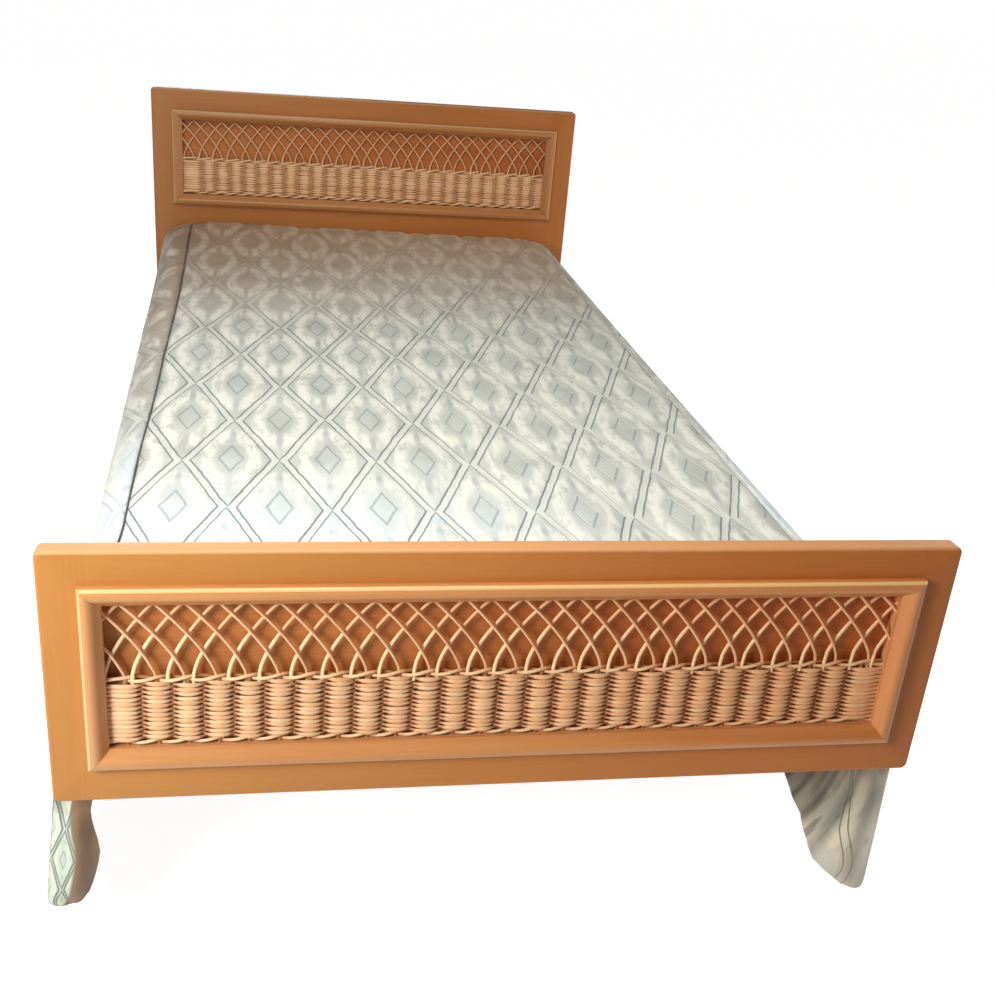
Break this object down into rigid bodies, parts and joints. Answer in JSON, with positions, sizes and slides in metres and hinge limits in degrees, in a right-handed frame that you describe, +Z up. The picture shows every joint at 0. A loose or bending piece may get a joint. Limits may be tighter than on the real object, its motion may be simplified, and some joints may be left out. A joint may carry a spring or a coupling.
{
  "type": "rattan bed",
  "caption": "Single bed with wooden end boards that each frame a woven rattan band under a lattice of crossed canes, with a slatted base, foam mattress and a piped diamond-patterned bedspread.",
  "frame": {"origin": "on the floor, at the centre of the whole bed's bounding box", "axes": "+X to the right seen from the foot, +Y from the footboard to the headboard, +Z up"},
  "size_m": [1.0024, 1.9912, 0.72],
  "materials": {
    "frame_wood": "satin lacquer",
    "moulding_wood": "satin lacquer",
    "rattan": "natural cane, lightly lacquered",
    "back_plywood": "stained",
    "slat_wood": "bare",
    "bracket_steel": "zinc plated",
    "mattress_ticking": "woven ticking",
    "bedspread_fabric": "satin weave",
    "dark_piping": "covered cord",
    "pale_piping": "covered cord"
  },
  "bodies": {
    "root": {"foot_left_stile": "frame_wood", "foot_right_stile": "frame_wood", "foot_top_rail": "frame_wood", "foot_bottom_rail": "frame_wood", "foot_moulding_top": "moulding_wood", "foot_moulding_bottom": "moulding_wood", "foot_moulding_left": "moulding_wood", "foot_moulding_right": "moulding_wood", "foot_woven_panel": "rattan", "foot_back_panel": "back_plywood", "head_left_stile": "frame_wood", "head_right_stile": "frame_wood", "head_top_rail": "frame_wood", "head_bottom_rail": "frame_wood", "head_moulding_top": "moulding_wood", "head_moulding_bottom": "moulding_wood", "head_moulding_left": "moulding_wood", "head_moulding_right": "moulding_wood", "head_woven_panel": "rattan", "head_back_panel": "back_plywood", "left_side_rail": "frame_wood", "left_cleat": "slat_wood", "right_side_rail": "frame_wood", "right_cleat": "slat_wood", "foot_left_bracket": "bracket_steel", "foot_left_leg": "slat_wood", "foot_right_bracket": "bracket_steel", "foot_right_leg": "slat_wood", "foot_bearer": "slat_wood", "head_left_bracket": "bracket_steel", "head_left_leg": "slat_wood", "head_right_bracket": "bracket_steel", "head_right_leg": "slat_wood", "head_bearer": "slat_wood", "slat_01": "slat_wood", "slat_02": "slat_wood", "slat_03": "slat_wood", "slat_04": "slat_wood", "slat_05": "slat_wood", "slat_06": "slat_wood", "slat_07": "slat_wood", "slat_08": "slat_wood", "slat_09": "slat_wood", "slat_10": "slat_wood", "slat_11": "slat_wood", "slat_12": "slat_wood", "mattress": "mattress_ticking", "bedspread_top": "bedspread_fabric", "bedspread_left_drop": "bedspread_fabric", "bedspread_right_drop": "bedspread_fabric", "left_piping": "dark_piping", "right_piping": "pale_piping"}
  },
  "joints": []
}
